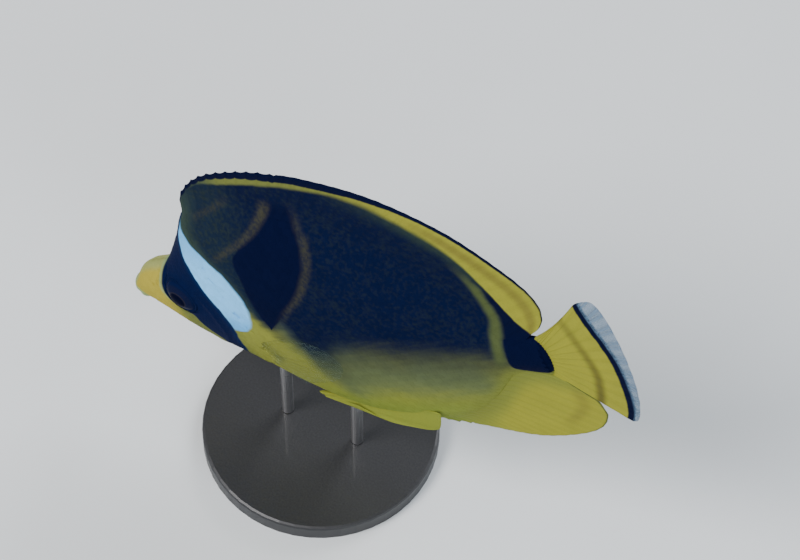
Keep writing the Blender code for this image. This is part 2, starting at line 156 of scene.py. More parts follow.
def side_at(x, z):
    """How far the flank stands out from the middle plane at a point of the side view."""
    t = np.clip((z - (back(x) + belly(x)) / 2) / ((back(x) - belly(x)) / 2), -1, 1)
    return body_point(x, np.arccos(t))[..., 1]


def in_row(points):
    """The fish's own millimetres as the row's metres."""
    points = np.asarray(points, float)
    x = points[..., 0] * BACKWARD[0] + points[..., 2] * UPWARD[0] + SNOUT_AT[0]
    z = points[..., 0] * BACKWARD[2] + points[..., 2] * UPWARD[2] + SNOUT_AT[2]
    return np.stack([x, points[..., 1] + SNOUT_AT[1], z], axis=-1) * MM


def distance_to(path, x, z, count=60):
    """How far points of the side view lie from a smooth path."""
    near = np.full(np.shape(x), 1e9)
    for px, pz in smooth_path(path, count):
        near = np.minimum(near, (x - px) ** 2 + (z - pz) ** 2)
    return np.sqrt(near)


def relief(x, z):
    """How far the skin stands out from the plain body at a point of the side view."""
    ahead = gill_x(z) - x
    cover = step_up(z, -19, -14) * (1 - step_up(z, 13, 18))
    up = 0.28 * cover * step_up(ahead, -0.1, 0.5) * np.exp(-np.clip(ahead, 0, None) / 6)
    up = up - 0.12 * cover * bump(ahead + 0.5, 0.55)
    cheek = distance_to(CHEEK_EDGE, x, z)
    up = up + 0.18 * bump(cheek, 0.75)
    eye = np.hypot(x - EYE_AT[0], z - EYE_AT[1])
    up = up + 0.3 * bump(eye - EYE_RADIUS - 0.5, 0.8)
    up = up - 1.5 * (1 - step_up(eye, EYE_RADIUS - 1.0, EYE_RADIUS - 0.2))
    for spot in NOSTRILS:
        d = np.hypot(x - spot[0], z - spot[1])
        up = up - 0.55 * bump(d, 0.42) + 0.16 * bump(d - 0.75, 0.3)
    up = up - 0.3 * bump(distance_to(MOUTH_CREASE, x, z, 20), 0.4)
    up = up - 0.1 * bump(distance_to(SNOUT_CREASE, x, z, 30), 0.45)
    return up


# Length round the flank, measured up and down from the middle of each section.
STATIONS = np.linspace(0, LENGTH, 251)
TURNS = np.linspace(0, math.pi, 241)
_ring = body_point(STATIONS[:, None], TURNS[None, :])
_way = np.concatenate([np.zeros((len(STATIONS), 1)),
                       np.cumsum(np.linalg.norm(np.diff(_ring, axis=1), axis=2), axis=1)], axis=1)
_up = _way[:, 120:121] - _way
REACH_UP = _up[:, 0]
REACH_DOWN = -_up[:, -1]
SHARES = np.linspace(-1, 1, 161)
TURN_AT = np.array([np.interp(np.where(SHARES > 0, SHARES * u, SHARES * d), row[::-1], TURNS[::-1])
                    for row, u, d in zip(_up, REACH_UP, REACH_DOWN)])


def turn_at(x, girth):
    """The turn round the section at a distance girth above (or below) the middle of the flank."""
    x = np.clip(x, 0, LENGTH)
    up = np.interp(x, STATIONS, REACH_UP)
    down = np.interp(x, STATIONS, REACH_DOWN)
    share = np.clip(np.where(girth > 0, girth / up, girth / down), -1, 1)
    i = np.clip(x / STATIONS[1], 0, len(STATIONS) - 1.001)
    j = np.clip((share + 1) / 2 * (len(SHARES) - 1), 0, len(SHARES) - 1.001)
    i0 = i.astype(int)
    j0 = j.astype(int)
    a = i - i0
    b = j - j0
    return ((TURN_AT[i0, j0] * (1 - a) + TURN_AT[i0 + 1, j0] * a) * (1 - b)
            + (TURN_AT[i0, j0 + 1] * (1 - a) + TURN_AT[i0 + 1, j0 + 1] * a) * b)


def on_flank(x, girth, side, height):
    """Points on the skin, lifted by height along its outward direction."""
    def at(x, g):
        return body_point(x, turn_at(x, g))

    middle = at(x, girth)
    along = at(x + 0.3, girth) - at(x - 0.3, girth)
    across = at(x, girth + 0.25) - at(x, girth - 0.25)
    outward = np.cross(across, along)
    outward /= np.maximum(np.linalg.norm(outward, axis=-1, keepdims=True), 1e-9)
    outward *= np.where(np.sum(outward * [0, 1, 0], axis=-1, keepdims=True) < 0, -1, 1)
    point = middle + outward * (height + relief(middle[..., 0], middle[..., 2]))[..., None]
    point[..., 1] *= side
    return point


# Finishes: shader nodes written as sums.

class Value:
    """A number or colour that changes over a surface."""

    def __init__(self, look, socket):
        self.look = look
        self.socket = socket

    def __add__(self, other):
        return self.look.sum("ADD", self, other)

    def __sub__(self, other):
        return self.look.sum("SUBTRACT", self, other)

    def __rsub__(self, other):
        return self.look.sum("SUBTRACT", other, self)

    def __mul__(self, other):
        return self.look.sum("MULTIPLY", self, other)

    def __truediv__(self, other):
        return self.look.sum("DIVIDE", self, other)

    def __rtruediv__(self, other):
        return self.look.sum("DIVIDE", other, self)

    def __abs__(self):
        return self.look.sum("ABSOLUTE", self)

    __radd__ = __add__
    __rmul__ = __mul__


class Look:
    """One finish: its shader, and the sums that feed it."""

    def __init__(self, name, **settings):
        self.material = bpy.data.materials.new(name)
        self.material.use_nodes = True
        self.tree = self.material.node_tree
        self.shader = self.tree.nodes["Principled BSDF"]
        self.feed(**settings)

    def join(self, socket, value):
        if isinstance(value, Value):
            self.tree.links.new(value.socket, socket)
        elif value is not None:
            if socket.type == "RGBA" and len(value) == 3:
                value = (*value, 1)
            socket.default_value = value

    def node(self, kind, settings=None, inputs=None, output=0):
        """One node of a kind: its settings first, then the values or links of its sockets."""
        made = self.tree.nodes.new(kind)
        for key, value in (settings or {}).items():
            if key == "points":
                line = made.mapping.curves[0]
                while len(line.points) < len(value):
                    line.points.new(0.5, 0.5)
                for point, at in zip(line.points, value):
                    point.location = at
                    point.handle_type = "AUTO_CLAMPED"
                made.mapping.update()
            else:
                setattr(made, key, value)
        for key, value in (inputs or {}).items():
            self.join(made.inputs[key], value)
        return Value(self, made.outputs[output])

    def feed(self, **values):
        """Sets or links the shader's own sockets; base_color stands for Base Color, and so on."""
        for key, value in values.items():
            name = key.replace("_", " ").title().replace("Ior", "IOR")
            self.join(self.shader.inputs[name], value)

    def sum(self, operation, a, b=None):
        return self.node("ShaderNodeMath", {"operation": operation}, {0: a, 1: b})

    def mix(self, share, a, b):
        """Colour a turning to colour b as share goes from 0 to 1."""
        return self.node("ShaderNodeMix", {"data_type": "RGBA"}, {0: share, 6: a, 7: b}, 2)

    def shade(self, colour, factor):
        """A colour made darker or lighter by a number."""
        return self.node("ShaderNodeVectorMath", {"operation": "SCALE"}, {0: colour, 3: factor})

    def fade(self, value, start, end):
        return self.node("ShaderNodeMapRange", {"interpolation_type": "SMOOTHSTEP"},
                         {0: value, 1: float(start), 2: float(end), 3: 0.0, 4: 1.0})

    def line(self, value, points):
        """A smooth line through (position, value) points, held level beyond its ends."""
        first, last = points[0][0], points[-1][0]
        low = min(p[1] for p in points)
        high = max(p[1] for p in points)
        share = self.node("ShaderNodeMapRange", {},
                          {0: value, 1: float(first), 2: float(last), 3: 0.0, 4: 1.0})
        shape = [((p - first) / (last - first), (v - low) / (high - low)) for p, v in points]
        return self.node("ShaderNodeFloatCurve", {"points": shape}, {0: 1.0, 1: share}) * (high - low) + low

    def noise(self, size, detail=2.0, place=None):
        """Soft cloudy change from 0 to 1, with patches of about size millimetres."""
        place = place or self.node("ShaderNodeTexCoord", output=3)
        return self.node("ShaderNodeTexNoise", {"noise_dimensions": "3D"},
                         {0: place, "Scale": 1000.0 / size, "Detail": detail, "Roughness": 0.5})

    def attribute(self, name):
        return self.node("ShaderNodeAttribute", {"attribute_name": name}, output=2)

    def raise_up(self, height, strength, depth_mm):
        self.feed(normal=self.node("ShaderNodeBump", {}, {"Strength": strength, "Distance": depth_mm * MM,
                                                        "Height": height}))

    def side_view(self):
        """The place on the fish in millimetres: back from the snout tip, and up."""
        place = self.node("ShaderNodeTexCoord", output=3)
        own = self.node("ShaderNodeVectorMath", {"operation": "SUBTRACT"},
                        {0: place, 1: [c * MM for c in SNOUT_AT]})
        x, z = [self.node("ShaderNodeVectorMath", {"operation": "DOT_PRODUCT"}, {0: own, 1: axis}, 1) * 1000
                for axis in (BACKWARD, UPWARD)]
        return x, z

    def at(self, x, z):
        """A place for noise, from sums."""
        return self.node("ShaderNodeCombineXYZ", {}, {0: x, 1: z, 2: 0.0})


# Colours, as shares of red, green and blue light.
YELLOW = (0.300, 0.292, 0.034)
DEEP_YELLOW = (0.232, 0.232, 0.032)
DIM_YELLOW = (0.094, 0.115, 0.040)
FRONT_YELLOW = (0.215, 0.226, 0.044)
BELLY_YELLOW = (0.130, 0.155, 0.042)
LEAF_YELLOW = (0.190, 0.238, 0.038)
ROOT_YELLOW = (0.182, 0.200, 0.038)
SNOUT = (0.36, 0.30, 0.045)
PALE_SKIN_AND_HIGHLIGHT = (0.21, 0.31, 0.165)
WHITE = (0.20, 0.56, 0.96)
SKY = (0.12, 0.40, 0.76)
NAVY = (0.0034, 0.0066, 0.029)
BLACK = (0.0028, 0.0045, 0.023)
MASK = (0.0034, 0.0075, 0.038)
NAPE = (0.0080, 0.0160, 0.033)
DEEP_BLUE = (0.004, 0.020, 0.080)
OLIVE = (0.019, 0.028, 0.025)
RIM_OLIVE = (0.034, 0.054, 0.042)
STRIPE = (0.040, 0.039, 0.028)
STREAK = (0.075, 0.096, 0.032)
AMBER = (0.150, 0.126, 0.030)
BROWN = (0.088, 0.076, 0.023)
VEIL = (0.088, 0.118, 0.062)
DORSAL_SHADE = (0.036, 0.060, 0.034)
ANAL_RIM = (0.03, 0.05, 0.03)
CLEAR_MARGIN = (0.12, 0.20, 0.30)
CLEAR_WEB = (0.07, 0.11, 0.09)
IRIS_DARK = (0.0034, 0.0066, 0.029)
IRIS_FLECK = (0.0075, 0.0095, 0.032)
IRIS_RING = (0.018, 0.017, 0.026)
PUPIL = (0.0012, 0.002, 0.012)
LIP = (0.24, 0.27, 0.09)
BASE_PAINT = ((0.035, 0.035, 0.038), (0.06, 0.06, 0.064))
ROD_STEEL = ((0.50, 0.50, 0.51), (0.68, 0.68, 0.69))
FLOOR_PALE = ((0.70, 0.72, 0.74), (0.76, 0.78, 0.80))

# The narrow streak in front of the black tail spot, up the side.
STREAK_LINE = [(0, 113.4), (3.5, 114.1), (7, 114.4), (9.5, 114.8), (12, 115.1), (15.3, 115.6), (19.5, 115.2),
               (23.4, 114.5), (26.5, 113.9), (30, 112.4), (34, 110.2)]
# The white band's rear and front edges, up the side.
BAND_REAR = [(1.2, 35.4), (2.3, 38.6), (3.6, 41), (6, 43.1), (9, 44.5), (13.5, 45.4), (18, 45), (22, 43.2),
             (25.7, 40.3), (29.5, 35.9), (32.1, 32.6), (35.1, 30.2), (38, 30.4)]
BAND_FRONT = [(1.6, 35), (6.9, 34.5), (11.6, 33.5), (16.8, 31.6), (21.1, 30.2), (25, 29.1), (29.9, 28.3),
              (33.5, 29.3), (37, 31)]


def upper_colour(look, x, z, clouds):
    """The dark flank, nape and fin base: flecks, two faint stripes and the black wedge between them."""
    speckle = look.noise(1.1, 4.0)
    colour = look.mix(look.fade(x, 58, 42), NAVY, NAPE)
    flecks = look.fade(speckle + (clouds - 0.5) * 0.5, 0.40, 0.75)
    colour = look.mix(flecks * look.line(x, [(28, 0.7), (46, 0.6), (54, 0.35), (100, 0.3)]), colour, OLIVE)
    front = look.line(z, [(6.4, 49.9), (12.2, 48.8), (19.2, 48), (25, 47.7), (28.7, 47.4), (33.1, 50),
                          (37, 54.4), (40.6, 58.2), (46, 62)])
    rear = look.line(z, [(6.4, 50.1), (14.8, 58.1), (20.7, 63.7), (24.5, 66.4), (29.2, 68.6), (34.9, 69.8),
                         (39.6, 69.4), (46, 68)])
    wedge = look.fade(x - front, -0.5, 0.5) * look.fade(rear - x, -0.5, 0.5) * look.fade(z, 5.6, 6.6)
    colour = look.mix(wedge * look.fade(z, 49, 44), colour, BLACK)
    fleck = look.fade(speckle, 0.36, 0.60) * 0.45 + 0.55
    slant = look.line(z, [(28, 40.5), (32.5, 46.6), (35.8, 51.7), (39.3, 56.1), (44, 59.9), (48, 61.5)])
    clear = look.line(z, [(27, 0), (31, 0.55), (36, 0.7), (40, 0.75), (44, 1.0), (46, 0.7), (48.5, 0)])
    colour = look.mix(look.fade(abs(x - slant), 2.9, 0.2) * clear * fleck, colour, STRIPE)
    bent = look.line(z, [(10, 54.6), (16, 59.5), (21.1, 64.4), (27.3, 68.5), (32.9, 70.8), (37.8, 71),
                         (41.9, 69.3), (49, 69.2)])
    clear = look.line(z, [(8, 0), (14, 0.35), (22, 0.75), (34, 0.8), (40, 0.5), (49, 0)])
    colour = look.mix(look.fade(abs(x - bent), 2.3, 0) * clear * fleck, colour, STRIPE)
    third = look.line(z, [(39.3, 37), (41.6, 41.9), (43.6, 45.7), (46, 48.5)])
    clear = look.fade(z, 37, 40) * look.fade(z, 48, 44) * 0.4
    colour = look.mix(look.fade(abs(x - third), 3.0, 0.4) * clear * fleck, colour, STRIPE)
    reach = (x - look.line(z, BAND_REAR)) / look.line(z, [(2, 2.4), (22, 2.2), (28, 2.8), (34, 5), (44, 6.5)])
    clear = look.line(z, [(2, 0.9), (12, 0.7), (18, 0.45), (27, 0.6), (33, 0.9), (44, 0.9), (48, 0)])
    colour = look.mix(look.fade(reach, 1.5, 0) * clear, colour, RIM_OLIVE)
    return colour, wedge


def fin_meeting(look, x, z):
    """How far above the anal fin's root line a place lies, and the colour that belly and fin share there."""
    line = look.line(x, [(76, -33.5), (85, -31.4), (95, -26.5), (103, -20), (110, -11.8), (115, -6.5),
                         (120, -4.1)])
    return z - line, look.mix(look.fade(x, 80, 96), LEAF_YELLOW, ROOT_YELLOW)


def body_colour(look):
    """The markings of head, flank and tail root, from the place in the side view."""
    x, z = look.side_view()
    drift = look.noise(5.0) - 0.5
    x = x + drift * 1.2
    z = z + drift * 1.0
    clouds = look.noise(9.0, 3.0)
    streaks = look.noise(1000.0, 2.0, look.at(x * 0.07 + z * 0.05, z * 0.42 - x * 0.10))

    yellow = look.mix(clouds, BELLY_YELLOW, DEEP_YELLOW)
    yellow = look.mix(look.fade(z, -10, -26) * 0.8, yellow, LEAF_YELLOW)
    yellow = look.mix(look.fade(x, 60, 46) * 0.8, yellow, FRONT_YELLOW)
    yellow = look.mix(look.fade(x, 92, 108), yellow, ROOT_YELLOW)
    yellow = look.mix(look.fade(x, 12, 20) * look.fade(x, 38, 30) * 0.65, yellow, DIM_YELLOW)
    yellow = look.mix(look.fade(x, 19, 11), yellow, SNOUT)
    # Painted highlight: the snout's top edge and its tip turn pale, where light catches the snout's outline.
    crown = look.line(x, [(-1.8, 3.5), (0, 6.2), (2, 8.7), (4, 10.9), (8, 13.2), (12, 14.6), (16, 16.6)])
    yellow = look.mix(look.fade(z - crown, -1.7, -0.2) * look.fade(x, 18, 14) * 0.5, yellow, PALE_SKIN_AND_HIGHLIGHT)
    yellow = look.mix(look.fade(x, 0.8, -0.8) * 0.5, yellow, PALE_SKIN_AND_HIGHLIGHT)
    # Where the dark flank gives way to the yellow belly.
    border = look.line(x, [(34, 9), (41, 11), (44, 12), (46.5, 9.5), (50, 6), (53, 4.5), (56, 0),
                           (58, -4.5), (60, -8.5), (63, -9), (68, -6), (74, -2.5), (80, -1), (88, -1.2),
                           (100, -1.5), (110, -1.8), (118, -1)])
    above = z - border + (streaks - 0.5) * 5.5
    soft = look.line(x, [(34, 3), (46, 3.5), (54, 7), (62, 10), (75, 11), (105, 11), (118, 6)])
    dark, wedge = upper_colour(look, x, z, clouds)
    haze = look.fade(above, 15, 1) * look.fade(x, 50, 55) * look.fade(x, 82, 66) * (1 - wedge)
    dark = look.mix(haze * 0.4, dark, VEIL)
    cover = look.fade(above / soft, -1.15, 1.05) * look.fade(x, 22.5, 24)
    veil = look.fade(abs(above / soft + 0.45), 1.2, 0.1) * look.fade(x, 56, 66) * look.fade(x, 114, 104)
    yellow = look.mix(veil * 0.7, yellow, VEIL)
    away, shared = fin_meeting(look, x, z)
    meets = look.fade(away, 8, 0.5) * look.fade(x, 76, 86)
    yellow = look.mix(meets, yellow, shared)
    cover = cover * (1 - meets * look.fade(x, 96, 106) * 0.9)
    colour = look.mix(look.sum("MAXIMUM", cover, wedge), yellow, dark)

    band_front = look.line(z, BAND_FRONT)
    band_rear = look.line(z, BAND_REAR)
    band = look.fade(x - band_front, -0.4, 0.4) * look.fade(band_rear - x, -0.6, 0.9) * look.fade(z, 0.9, 2.6)
    white = look.mix(look.fade(z, 12, 2), WHITE, SKY)
    white = look.mix(look.fade(z, 22, 34) * 0.8, white, SKY)
    colour = look.mix(band, colour, white)

    mask_front = look.line(z, [(-13, 28), (-9, 26), (-5.9, 24.5), (-3.7, 23.4), (-0.9, 22.4), (1.5, 21.8),
                               (2.8, 21), (3.8, 19), (4.6, 17), (5.6, 15.4), (7.2, 14), (9, 13.1),
                               (12.4, 13.5), (16.6, 15.3), (21, 18.2), (27, 21.8)])
    pale_rim = look.fade(abs(x - mask_front + 0.3), 0.9, 0.3) * look.fade(z, 5, 8)
    colour = look.mix(pale_rim * 0.6, colour, PALE_SKIN_AND_HIGHLIGHT)
    mask_rear = look.line(z, [(-13, 30.5), (-7, 33.2), (-2.7, 33.9)] + BAND_FRONT)
    mask = look.fade(x - mask_front, -0.4, 0.4) * look.fade(mask_rear - x, -0.4, 0.4)
    mask = mask * look.fade(z, -15, -12.5)
    colour = look.mix(mask, colour, look.mix(look.fade(mask_rear - x, 2.6, 0) * 0.5, MASK, DEEP_BLUE))

    streak = look.fade(abs(x - look.line(z, STREAK_LINE)), 2.5, 0.3)
    colour = look.mix(streak * look.fade(z, -2, 5) * 0.88, colour, STREAK)
    spot_front = look.line(z, [(-2, 118), (-0.6, 116.8), (2, 115.9), (6.5, 116.2), (10, 116.5), (12.5, 116.6),
                               (15, 116.8)])
    spot_low = look.line(x, [(115, 1), (117, -0.6), (119, -1.5), (121, -1.8), (124, -1.7), (128, -1.4)])
    spot = look.fade(x - spot_front, -0.4, 0.4) * look.fade(z - spot_low, -0.4, 0.4)
    return look.mix(spot, colour, BLACK)


def smooth_shade(mesh, angle=40):
    mesh.shade_smooth()
    mesh.set_sharp_from_angle(angle=math.radians(angle))


def show(name, mesh, look):
    """Puts a finished mesh, already in the row's metres, into the scene."""
    piece = bpy.data.objects.new(name, mesh)
    bpy.context.scene.collection.objects.link(piece)
    mesh.materials.clear()
    mesh.materials.append(look.material)
    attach(piece, "root")
    return piece


def face_out(bm):
    bmesh.ops.recalc_face_normals(bm, faces=bm.faces)
    if bm.calc_volume(signed=True) < 0:
        bmesh.ops.reverse_faces(bm, faces=bm.faces)


def as_mesh(bm, name):
    made = bpy.data.meshes.new(name)
    bm.to_mesh(made)
    bm.free()
    return made


def shaped_ball(name, u, v, shape, marks=None):
    """A ball whose points are moved by shape(unit points), with any number of marks kept on its points."""
    bm = bmesh.new()
    bmesh.ops.create_uvsphere(bm, u_segments=u, v_segments=v, radius=1.0)
    unit = np.array([vert.co for vert in bm.verts])
    placed = in_row(shape(unit))
    for vert, co in zip(bm.verts, placed):
        vert.co = co
    if bm.calc_volume(signed=True) < 0:
        bmesh.ops.reverse_faces(bm, faces=bm.faces)
    made = as_mesh(bm, name)
    for key, values in (marks(unit) if marks else {}).items():
        layer = made.attributes.new(key, "FLOAT", "POINT")
        layer.data.foreach_set("value", np.asarray(values, np.float32))
    smooth_shade(made)
    return made


def tube(name, path, radius, u, v):
    """A soft rope of flesh along a path."""
    steps = smooth_path(path, 200)

    def shape(unit):
        share = np.arccos(np.clip(unit[:, 2], -1, 1)) / math.pi
        turn = np.arctan2(unit[:, 1], unit[:, 0])
        at = share * (len(steps) - 1)
        middle = np.stack([np.interp(at, np.arange(len(steps)), steps[:, k]) for k in range(3)], axis=1)
        way = np.gradient(steps, axis=0)
        way = np.stack([np.interp(at, np.arange(len(steps)), way[:, k]) for k in range(3)], axis=1)
        way /= np.linalg.norm(way, axis=1, keepdims=True)
        up = np.array([0.0, 0.0, 1.0]) - way * way[:, 2:3]
        up /= np.linalg.norm(up, axis=1, keepdims=True)
        out = np.cross(way, up)
        thick = radius * np.clip(4 * share * (1 - share), 0, 1) ** 0.55
        return middle + (out * np.cos(turn)[:, None] + up * np.sin(turn)[:, None]) * thick[:, None]

    return shaped_ball(name, u, v, shape)


# Skin: one closed ball drawn over the whole body.
skin_station = smooth([(0, -FRONT_CAP - SKIN_DEPTH), (0.01, -1.95), (0.02, -1.6), (0.035, -0.7), (0.05, 0.2),
                       (0.09, 3), (0.3, 19), (0.56, 41), (0.97, LENGTH), (0.98, 126), (0.99, 127),
                       (1, LENGTH + REAR_CAP)])


def make_skin():
    bm = bmesh.new()
    bmesh.ops.create_uvsphere(bm, u_segments=SKIN_ROUND, v_segments=SKIN_ALONG, radius=1.0)
    unit = np.array([vert.co for vert in bm.verts])
    x = skin_station(np.arccos(np.clip(unit[:, 2], -1, 1)) / math.pi)
    turn = np.arctan2(unit[:, 1], unit[:, 0])
    flesh = body_point(x, turn, -SKIN_DEPTH)
    for vert, co in zip(bm.verts, flesh):
        vert.co = co
    if bm.calc_volume(signed=True) < 0:
        bmesh.ops.reverse_faces(bm, faces=bm.faces)
    bm.normal_update()
    outward = np.array([vert.normal for vert in bm.verts])
    flesh = flesh + outward * relief(flesh[:, 0], flesh[:, 2])[:, None]
    for vert, co in zip(bm.verts, in_row(flesh)):
        vert.co = co
    made = as_mesh(bm, "skin")
    smooth_shade(made, 60)
    return made


skin_look = Look("skin", ior=WET_IOR, specular_ior_level=WET_GLOSS)
skin_colour = body_colour(skin_look)
grain = skin_look.noise(0.55, 3.0)
skin_look.feed(base_color=skin_look.shade(skin_colour, grain * 0.3 + 0.85), roughness=grain * 0.16 + 0.34)
skin_look.raise_up(grain, 0.35, 0.08)
skin = show("skin", make_skin(), skin_look)
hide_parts("head", "torso", "tail_stalk")


# Scales.

def scale_pattern():
    """One scale as a thin closed plate, a from root (-1) to free edge (1) and b across it."""
    bm = bmesh.new()
    bmesh.ops.create_circle(bm, cap_ends=True, cap_tris=False, segments=12, radius=1.0)
    top = list(bm.faces)
    bmesh.ops.inset_region(bm, faces=top, thickness=0.42, depth=0.0, use_even_offset=True)
    inner = [f for f in bm.faces if len(f.verts) == 12]
    bmesh.ops.poke(bm, faces=inner)
    grown = bmesh.ops.extrude_face_region(bm, geom=list(bm.faces))
    below = [v for v in grown["geom"] if isinstance(v, bmesh.types.BMVert)]
    bmesh.ops.translate(bm, verts=below, vec=(0, 0, -1.0))
    bmesh.ops.recalc_face_normals(bm, faces=bm.faces)
    bm.verts.index_update()
    points = np.array([v.co for v in bm.verts])
    faces = [[v.index for v in f.verts] for f in bm.faces]
    bm.free()
    return points, faces


def plant(spots, length_of, width_of, rise, thick):
    """Places of all points of the scales that grow at the spots, and their marks."""
    points, faces = scale_pattern()
    a = points[:, 0][None, :]
    b = points[:, 1][None, :]
    below = (points[:, 2] < -0.5)[None, :]
    x0 = spots[:, 0][:, None]
    g0 = spots[:, 1][:, None]
    side = spots[:, 2][:, None]
    tone = spots[:, 3][:, None]
    long = length_of(x0) * (1 + 0.06 * tone)
    wide = width_of(x0)
    x = x0 + a * long / 2
    g = g0 + b * wide / 2 * (1 - 0.12 * a)
    round_off = 1 - (a * a + b * b)
    height = -0.12 + rise * (a + 1) / 2 * (1 + 0.2 * tone) + 0.05 * round_off - np.where(below, thick, 0.0)
    placed = on_flank(x, g, side, height)
    turn = turn_at(x0, g0) * side
    u = turn / (2 * math.pi) + 0.5 + 0.0015 * b
    v = (x0 + 3) / 134 + 0.0015 * a
    rim = np.clip(np.hypot(a, b) * (0.55 + 0.45 * np.clip(a, -1, 1)), 0, 1) + 0 * x0
    return placed, u + 0 * a, v + 0 * b, rim, tone + 0 * a, faces


def coat(name, planted, look):
    """Many scales joined in one mesh, each with its own patch of the bake map."""
    placed, u, v, rim, tone, pattern = planted
    count, size = placed.shape[:2]
    faces = [[k * size + i for i in face] for k in range(count) for face in pattern]
    made = bpy.data.meshes.new(name)
    made.from_pydata(in_row(placed.reshape(-1, 3)).tolist(), [], faces)
    bm = bmesh.new()
    bm.from_mesh(made)
    bmesh.ops.recalc_face_normals(bm, faces=bm.faces)
    bm.to_mesh(made)
    bm.free()
    corner = np.zeros(len(made.loops), np.int32)
    made.loops.foreach_get("vertex_index", corner)
    layer = made.uv_layers.new(name="OFBake")
    spots = np.stack([u.reshape(-1), v.reshape(-1)], axis=1)
    layer.data.foreach_set("uv", spots[corner].astype(np.float32).reshape(-1))
    for key, values in (("rim", rim), ("tone", tone)):
        mark = made.attributes.new(key, "FLOAT", "POINT")
        mark.data.foreach_set("value", values.reshape(-1).astype(np.float32))
    smooth_shade(made, 50)
    return show(name, made, look)


def rows(step_of, row_step, row_share, first, last, inside, seed):
    """Staggered rows of scale places over one flank: (x, girth, side, tone)."""
    stations = [first]
    while stations[-1] < last:
        stations.append(stations[-1] + float(step_of(stations[-1])) / 2)
    found = []
    draw = np.random.default_rng(seed)
    for k, x in enumerate(stations):
        up = np.interp(x, STATIONS, REACH_UP)
        down = np.interp(x, STATIONS, REACH_DOWN)
        pitch = row_step * float(row_share(x))
        for j in range(-int(down / pitch) - 1, int(up / pitch) + 2):
            if (j + k) % 2:
                continue
            g = j * pitch
            if 0.5 - down < g < up - 0.9 and inside(x, g):
                found.append((x, g, draw.uniform(-1, 1)))
    return [(x, g, side, tone) for side in (-1, 1) for x, g, tone in found]


def z_at(x, g):
    return float(body_point(x, turn_at(np.array([x]), np.array([g])))[0][2])


FLANK_ROW = 1.9
HEAD_ROW = 0.9
SCALE_LAP = 1.75
FLANK_SCALE_WIDTH = 3.9
HEAD_SCALE_WIDTH = 1.85

body_step = smooth([(26, 1.9), (36, 2.2), (50, 2.45), (88, 2.45), (110, 1.9), (118, 1.45), (126, 1.1)])
row_share = smooth([(26, 0.62), (36, 0.82), (52, 1.0), (84, 1.0), (105, 0.8), (116, 0.6), (126, 0.55)])


def behind_gill(x, g):
    return x - float(gill_x(z_at(x, g))) > 0.6 and x < 125.6


def on_head(x, g):
    z = z_at(x, g)
    if x - float(gill_x(z)) > -0.3:
        return False
    return math.hypot(x - EYE_AT[0], z - EYE_AT[1]) > EYE_RADIUS + 1.2 and x > 7 + abs(z - 4) * 0.1


body_spots = np.array(rows(body_step, FLANK_ROW, row_share, 24.0, 125.6, behind_gill, 3))
head_step = smooth([(5, 0.9), (16, 1.15), (30, 1.35), (42, 1.6)])
head_share = smooth([(5, 0.75), (16, 1.0), (30, 1.15), (42, 1.4)])
head_spots = np.array(rows(head_step, HEAD_ROW, head_share, 6.0, 42.0, on_head, 5))

coat_look = Look("scales", ior=WET_IOR, specular_ior_level=WET_GLOSS)
base = body_colour(coat_look)
rim = coat_look.attribute("rim")
tone = coat_look.attribute("tone")
edge = coat_look.fade(rim, 0.6, 1.0)
grain = coat_look.noise(0.4, 2.0)
base = coat_look.shade(base, tone * 0.05 + 1.0 - edge * 0.06 + (grain - 0.5) * 0.16)
coat_look.feed(base_color=base, roughness=grain * 0.14 + edge * 0.1 + 0.36)
coat_look.raise_up(grain, 0.25, 0.04)

coat("body_scales", plant(body_spots, lambda x: body_step(x) * SCALE_LAP,
                          lambda x: row_share(x) * FLANK_SCALE_WIDTH, 0.075, 0.035), coat_look)
coat("head_scales", plant(head_spots, lambda x: head_step(x) * SCALE_LAP,
                          lambda x: head_share(x) * HEAD_SCALE_WIDTH, 0.06, 0.03), coat_look)


# Fins.
DORSAL_BASE = (30.3, 120.0)
DORSAL_EDGE = [(32.2, 42), (33.7, 44.6), (36.2, 47.3), (39.7, 50.2), (45, 53.2), (52, 55.6),
               (59, 57.3), (66, 58.1), (73, 58.1), (80, 57.3), (87, 56.1), (94, 54.5), (101, 52.2),
               (107, 49.6), (112, 46.9), (116, 44), (120, 40), (124, 35.2), (127.7, 30.2),
               (129.9, 25.7), (130.6, 22), (130, 18.4), (128.4, 15.2), (126.5, 13.1), (124.6, 12.1)]
ANAL_BASE = (78.0, 118.5)
ANAL_EDGE = [(82, -34.2), (88, -33.4), (95, -32.7), (102, -32.4), (110, -31.9), (118, -30.3), (125, -27.8),
             (130, -24.9), (134, -20.7), (135.9, -16.2), (135.3, -12.2), (132, -8.8), (127.8, -5.1)]
CAUDAL_EDGE = [(128, 12.2), (133, 16.8), (138, 22), (142.5, 26.6), (146.6, 27.9), (148.6, 24), (149.5, 18),
               (149.8, 10.7), (149.3, 1.6), (148, -6.4), (145.7, -14), (143.2, -17.9), (139.5, -15.6),
               (134.8, -11.5), (128.8, -6.5)]
PECTORAL_EDGE = [(53, 5), (60, 5.5), (66.5, 3), (69, -1.5), (66.5, -6.5), (60.5, -10.5), (53, -12.5)]
PELVIC_EDGE = [(60, -24), (73, -23), (86.2, -24.2), (84.8, -28), (82.2, -31.9), (76, -32.9), (70, -33),
               (64, -31.8), (58.5, -28.6)]
FIN_ROOT = 1.3
FIN_EDGE = 0.5
FIN_SUNK = 4.0
FIN_MEETS_FLANK = 1.8


